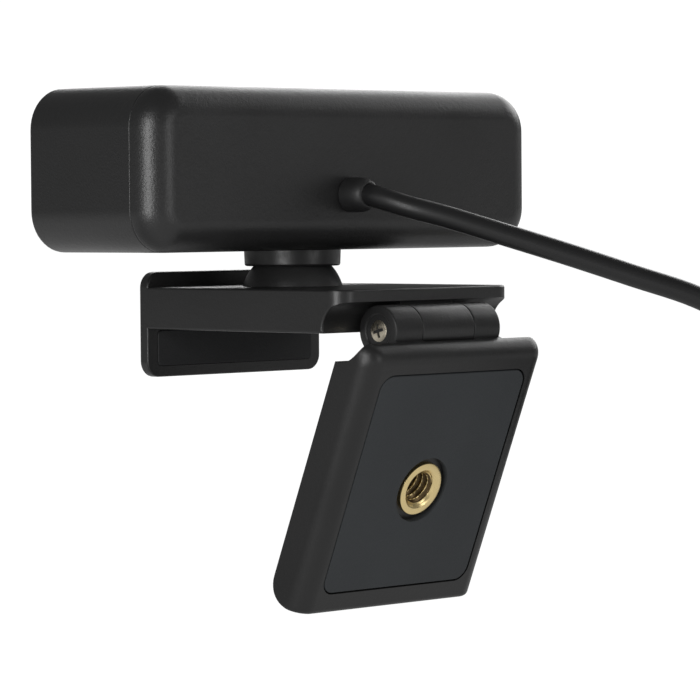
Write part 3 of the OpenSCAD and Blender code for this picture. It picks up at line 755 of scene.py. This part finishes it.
def make_lip_pad():
    outline = rect_outline(38.4, 6.2, 0.9, 0, -3.4, 6)
    o = slab_y(outline, LIP_IN - 0.75, LIP_IN + 0.2, 0, 0.15, 3, "lip_cushion")
    return dress(o, "clip", MAT["foam"], ["lip_pad"])


# ---------------------------------------------------------------- leg, built upright and then leaned forward
LEAN = Matrix.Translation(Vector((0, HY, HZ)) * MM) @ Matrix.Rotation(math.radians(-22), 4, "X")
LEG_HW, LEG_F, LEG_B, LEG_L, INSERT_S = 44.6 / 2, 0.5, 8.4, 49.0, 26.6


def leg_profile(front, back, top, low):
    """Side outline in (n, s up), with its front, rear, top and bottom faces moved in by the amounts given."""
    f, b, t, l = LEG_F + front, LEG_B - back, -top, -LEG_L + low
    toe, heel, head = max(4.8 - low, 0.3), max(1.0 - low, 0.25), 2.8
    heel = min(heel, (b - f) * 0.3)
    toe = min(toe, (b - f) - heel - 0.05)
    head = min(head, (b - f) * 0.45)
    edge = 0.35
    pts = []
    pts += [(f + edge - edge * math.sin(math.radians(q)), t - edge + edge * math.cos(math.radians(q)))
            for q in (0, 30, 60, 90)]
    pts += [(f + toe + toe * math.cos(math.radians(180 + q)), l + toe + toe * math.sin(math.radians(180 + q)))
            for q in range(0, 91, 9)]
    pts += [(b - heel + heel * math.cos(math.radians(q)), l + heel + heel * math.sin(math.radians(q)))
            for q in range(270, 361, 15)]
    pts += [(b - head + head * math.cos(math.radians(q)), t - head + head * math.sin(math.radians(q)))
            for q in range(0, 91, 10)]
    return pts


def leg_place(o):
    o.data.transform(LEAN)
    return o


def make_leg():
    side_r, rim, corner = 3.6, 0.4, 2.3
    ds = sorted(set([rim * (1 - math.cos(math.radians(q))) for q in (0, 30, 60, 90)]
                    + [side_r * (1 - math.cos(math.radians(q))) for q in range(30, 91, 6)]))
    half = []
    for d in ds:
        k = rim - math.sqrt(max(0.0, rim * rim - (rim - d) ** 2)) if d < rim else 0.0
        back = side_r - math.sqrt(max(0.0, side_r * side_r - (side_r - d) ** 2)) if d < side_r else 0.0
        top = corner - math.sqrt(max(0.0, corner * corner - (corner - d) ** 2)) if d < corner else 0.0
        half.append((LEG_HW - d, leg_profile(k, back, max(k, top), k)))
    full = half + [(-x, p) for x, p in half[::-1]]
    bm = bmesh.new()
    loft(bm, [[(x, n, s) for n, s in p] for x, p in full])
    o = raw_object("clip_leg", bm)
    cz = -4.7 - 40.3 / 2
    tools = []
    for a, b in ((13.15, 40), (-40, -13.15), (-6.5, 6.5)):
        tools.append(rod("x", 5.05, a, b, n=96))
    tools.append(slab_y(rect_outline(36.4, 40.8, 2.85, 0, cz), LEG_B - 1.2, LEG_B + 1))
    tools.append(rod("y", 4.0, LEG_F + 1, LEG_B + 1, (0, 0, -INSERT_S), 64))
    cut(o, tools)
    knuckles = []
    for sx in (-1, 1):
        a, b = 6.475, 13.15
        prof = [(0, a), (4.15, a), (4.32, a + 0.07), (4.4, a + 0.25), (4.4, b - 0.4), (4.28, b - 0.12),
                (4.0, b), (0, b)]
        bm = bmesh.new()
        lathe(bm, [(r, sx * s) for r, s in prof], "x", (0, 0, 0), 72)
        knuckles.append(raw_object("tool", bm))
    cut(o, knuckles, "UNION")
    tools = [rod("x", 1.52, -20, 20, n=40), rod("x", 2.8, 10.65, 20, n=48), rod("x", 2.85, -20, -10.55, n=6),
             rod("x", 3.5, 6.2, 7.05, n=48), rod("x", 3.5, -7.05, -6.2, n=48)]
    bm = bmesh.new()
    prof = [(0, 12.9), (2.8, 12.9), (2.8, 12.98), (3.0, 13.16), (3.0, 13.4), (0, 13.4)]
    lathe(bm, prof, "x", (0, 0, 0), 64)
    tools.append(raw_object("tool", bm))
    cut(o, tools)
    leg_place(o)
    return dress(o, "leg", MAT["leg"], ["leg"])


def make_leg_pad():
    cz = -4.7 - 40.3 / 2
    o = slab_y(rect_outline(35.9, 40.3, 2.6, 0, cz, 10), LEG_B - 1.2, LEG_B, 0, 0.22, 4, "leg_cushion")
    bm = bmesh.new()
    prof = [(0, LEG_B - 2), (5.95, LEG_B - 2), (5.95, LEG_B - 0.2), (6.01, LEG_B - 0.07),
            (6.15, LEG_B + 0.01), (6.4, LEG_B + 0.3), (0, LEG_B + 0.3)]
    lathe(bm, prof, "y", (0, 0, -INSERT_S), 80)
    cut(o, [raw_object("tool", bm)])
    leg_place(o)
    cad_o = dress(o, "leg", MAT["pad"], ["leg_pad"])
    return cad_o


def make_insert():
    """Brass insert with a real 1/4-20 internal thread: 1.27 mm pitch."""
    top, low = LEG_B - 0.3, LEG_F + 1.6
    pitch, major, minor = 1.27, 3.175, 2.60
    n = 96
    prof = [(0, LEG_F + 1.0), (4.0, LEG_F + 1.0), (4.0, LEG_B - 1.2), (4.85, LEG_B - 1.2), (4.85, top - 0.22),
            (4.78, top - 0.07), (4.62, top), (3.75, top), (3.62, top - 0.03), (3.30, top - 0.42)]
    steps = 90
    threaded = 1.0
    prof += [(threaded, top - 0.44 - (top - 0.44 - low) * i / steps) for i in range(steps + 1)]
    prof.append((0, low))

    def radius(r, s, a):
        if r != threaded:
            return r
        turn = (s / pitch - a / (2 * math.pi)) % 1.0
        tri = abs(turn - 0.5) * 2
        depth = min(1.0, max(0.0, (tri - 0.12) / 0.72))
        rr = minor + (major - minor) * depth
        lead = (top - 0.44 - s)
        return max(rr, 3.28 - lead * 1.15)

    bm = bmesh.new()
    lathe(bm, prof, "y", (0, 0, -INSERT_S), n, radius)
    o = leg_place(raw_object("brass_insert", bm))
    dress(o, "leg", MAT["brass"], ["tripod_insert"], angle=40)
    # Painted shade: thread flank and root faces deeper than 0.9 mm in the bore take the dark brass; the
    # crests keep the plain brass.
    o.data.materials.append(MAT["thread"])
    back = LEAN.inverted()
    for face in o.data.polygons:
        c = back @ face.center
        if 2.67 * MM < math.hypot(c.x, c.z + INSERT_S * MM) < 3.24 * MM and c.y < (top - 0.9) * MM:
            face.material_index = 1
    return o


def make_hinge_screw():
    bm = bmesh.new()
    x0, x1 = 10.65, 13.15
    prof = [(0, -12.3), (1.35, -12.3), (1.5, -12.15), (1.5, x0), (2.3, x0), (2.3, x1 - 0.62),
            (2.24, x1 - 0.48), (2.05, x1 - 0.33), (1.7, x1 - 0.2), (1.3, x1 - 0.1), (0.8, x1 - 0.03), (0, x1)]
    lathe(bm, prof, "x", (0, HY, HZ), 64)
    o = raw_object("hinge_bolt", bm)
    tools = []
    for q in (14, 104):
        bm = bmesh.new()
        pts = [(x1 + 1, 1.2), (x1 + 1, -1.2), (x1 - 0.35, -1.2), (x1 - 1.2, -0.35), (x1 - 1.2, 0.35),
               (x1 - 0.35, 1.2)]
        loft(bm, [[(x, a, b) for x, a in pts] for b in (-0.27, 0.27)])
        t = raw_object("tool", bm)
        turn = Matrix.Rotation(math.radians(q), 4, "X")
        t.data.transform(Matrix.Translation(Vector((0, HY, HZ)) * MM) @ turn)
        tools.append(t)
    cut(o, tools)
    return dress(o, "leg", MAT["nickel"], ["hinge_screw"])


make_front_housing()
make_rear_cover()
make_window()
make_lens_ring()
make_front_lens()
make_collar()
make_gland()
PLUG = make_plug()
TIE = make_tie()
make_clip()
make_lip_pad()
make_leg()
make_leg_pad()
make_insert()
make_hinge_screw()

# ---------------------------------------------------------------- materials of the CAD nodes that stay
KEPT = {
    "swivel_cap": "black", "swivel_cap_screws": "steel", "swivel_dome": "dome", "tension_screw": "steel",
    "saddle_washer": "nickel", "tension_spring": "steel", "lock_nut": "steel", "lens_barrel": "black",
    "lens_holder": "black", "infrared_filter": "filter", "image_sensor": "chip", "main_board": "board",
    "board_screws": "steel", "status_led": "cream", "light_pipe": "clear", "microphones": "nickel",
    "microphone_boots": "foam", "cable_socket": "cream", "hinge_nut": "steel", "friction_washers": "steel",
}
for node, key in KEPT.items():
    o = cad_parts[node]
    o.data.materials.clear()
    o.data.materials.append(MAT[key])


# ---------------------------------------------------------------- stage and light
def smooth_step(t, value, a, b, c, d):
    n = t.nodes.new("ShaderNodeMapRange")
    n.interpolation_type = "SMOOTHSTEP"
    for k, v in (("From Min", a), ("From Max", b), ("To Min", c), ("To Max", d)):
        n.inputs[k].default_value = v
    t.links.new(value, n.inputs["Value"])
    return n.outputs["Result"]


def make_stage():
    """Pale floor: white where it is seen directly, dimmer as a source of light on the part."""
    bm = bmesh.new()
    bmesh.ops.create_grid(bm, x_segments=8, y_segments=8, size=9.0)
    me = bpy.data.meshes.new("floor")
    bm.to_mesh(me)
    bm.free()
    o = bpy.data.objects.new("floor", me)
    o.location = (0, 0, cad_lo.z - 0.0002)
    scene.collection.objects.link(o)
    m = bpy.data.materials.new("floor_white")
    m.use_nodes = True
    t = m.node_tree
    t.nodes.clear()
    out = t.nodes.new("ShaderNodeOutputMaterial")
    mix = t.nodes.new("ShaderNodeMixShader")
    path = t.nodes.new("ShaderNodeLightPath")
    where = t.nodes.new("ShaderNodeNewGeometry")
    xyz = t.nodes.new("ShaderNodeSeparateXYZ")
    t.links.new(where.outputs["Position"], xyz.inputs["Vector"])
    dim = t.nodes.new("ShaderNodeEmission")
    dim.inputs["Color"].default_value = (1, 1, 1, 1)
    near = smooth_step(t, xyz.outputs["Y"], 0.0, 0.03, 0.36, 0.60)
    front = smooth_step(t, xyz.outputs["Y"], -0.085, -0.045, 0.34, 0.0)
    limit = smooth_step(t, xyz.outputs["Y"], -0.32, -0.20, 0.0, 1.0)
    band = t.nodes.new("ShaderNodeMath")
    band.operation = "MULTIPLY"
    t.links.new(front, band.inputs[0])
    t.links.new(limit, band.inputs[1])
    total = t.nodes.new("ShaderNodeMath")
    t.links.new(near, total.inputs[0])
    t.links.new(band.outputs["Value"], total.inputs[1])
    t.links.new(total.outputs["Value"], dim.inputs["Strength"])
    seen = t.nodes.new("ShaderNodeMixShader")
    seen.inputs["Fac"].default_value = 0.92
    pale = t.nodes.new("ShaderNodeBsdfDiffuse")
    pale.inputs["Color"].default_value = (0.9, 0.9, 0.9, 1)
    glow = t.nodes.new("ShaderNodeEmission")
    glow.inputs["Color"].default_value = (1, 1, 1, 1)
    glow.inputs["Strength"].default_value = 1.11
    t.links.new(pale.outputs[0], seen.inputs[1])
    t.links.new(glow.outputs[0], seen.inputs[2])
    t.links.new(path.outputs["Is Camera Ray"], mix.inputs["Fac"])
    t.links.new(dim.outputs[0], mix.inputs[1])
    t.links.new(seen.outputs[0], mix.inputs[2])
    t.links.new(mix.outputs[0], out.inputs["Surface"])
    me.materials.append(m)


def make_world():
    """White backdrop, which lights the part most from near the horizon."""
    w = bpy.data.worlds.new("studio")
    scene.world = w
    w.use_nodes = True
    t = w.node_tree
    t.nodes.clear()
    out = t.nodes.new("ShaderNodeOutputWorld")
    mix = t.nodes.new("ShaderNodeMixShader")
    path = t.nodes.new("ShaderNodeLightPath")
    coord = t.nodes.new("ShaderNodeTexCoord")
    xyz = t.nodes.new("ShaderNodeSeparateXYZ")
    t.links.new(coord.outputs["Generated"], xyz.inputs["Vector"])
    amb = t.nodes.new("ShaderNodeBackground")
    amb.inputs["Color"].default_value = (1, 1, 1, 1)
    t.links.new(smooth_step(t, xyz.outputs["Z"], 0.35, 0.85, 0.19, 0.15), amb.inputs["Strength"])
    white = t.nodes.new("ShaderNodeBackground")
    white.inputs["Color"].default_value = (1, 1, 1, 1)
    white.inputs["Strength"].default_value = 1.1
    t.links.new(path.outputs["Is Camera Ray"], mix.inputs["Fac"])
    t.links.new(amb.outputs[0], mix.inputs[1])
    t.links.new(white.outputs[0], mix.inputs[2])
    t.links.new(mix.outputs[0], out.inputs["Surface"])


def softbox(name, turn, rise, dist, w, h, glow):
    """Rectangular light turned from +Y towards +X and raised (degrees), of a given radiance."""
    data = bpy.data.lights.new(name, "AREA")
    data.shape = "RECTANGLE"
    data.size, data.size_y = w, h
    data.energy = glow * w * h * math.pi
    o = bpy.data.objects.new(name, data)
    t, r = math.radians(turn), math.radians(rise)
    d = Vector((math.sin(t) * math.cos(r), math.cos(t) * math.cos(r), math.sin(r)))
    o.location = d * dist
    o.rotation_mode = "QUATERNION"
    o.rotation_quaternion = d.to_track_quat("Z", "Y")
    scene.collection.objects.link(o)
    return o


make_stage()
make_world()
softbox("key", 67, 8, 0.30, 0.105, 0.19, 7.2)
softbox("side", -7, 8, 0.45, 0.14, 0.25, 2.2)
softbox("panel", -108, 27, 1.0, 1.3, 0.5, 2.9)

scene.view_settings.view_transform = "Standard"
scene.view_settings.look = "None"
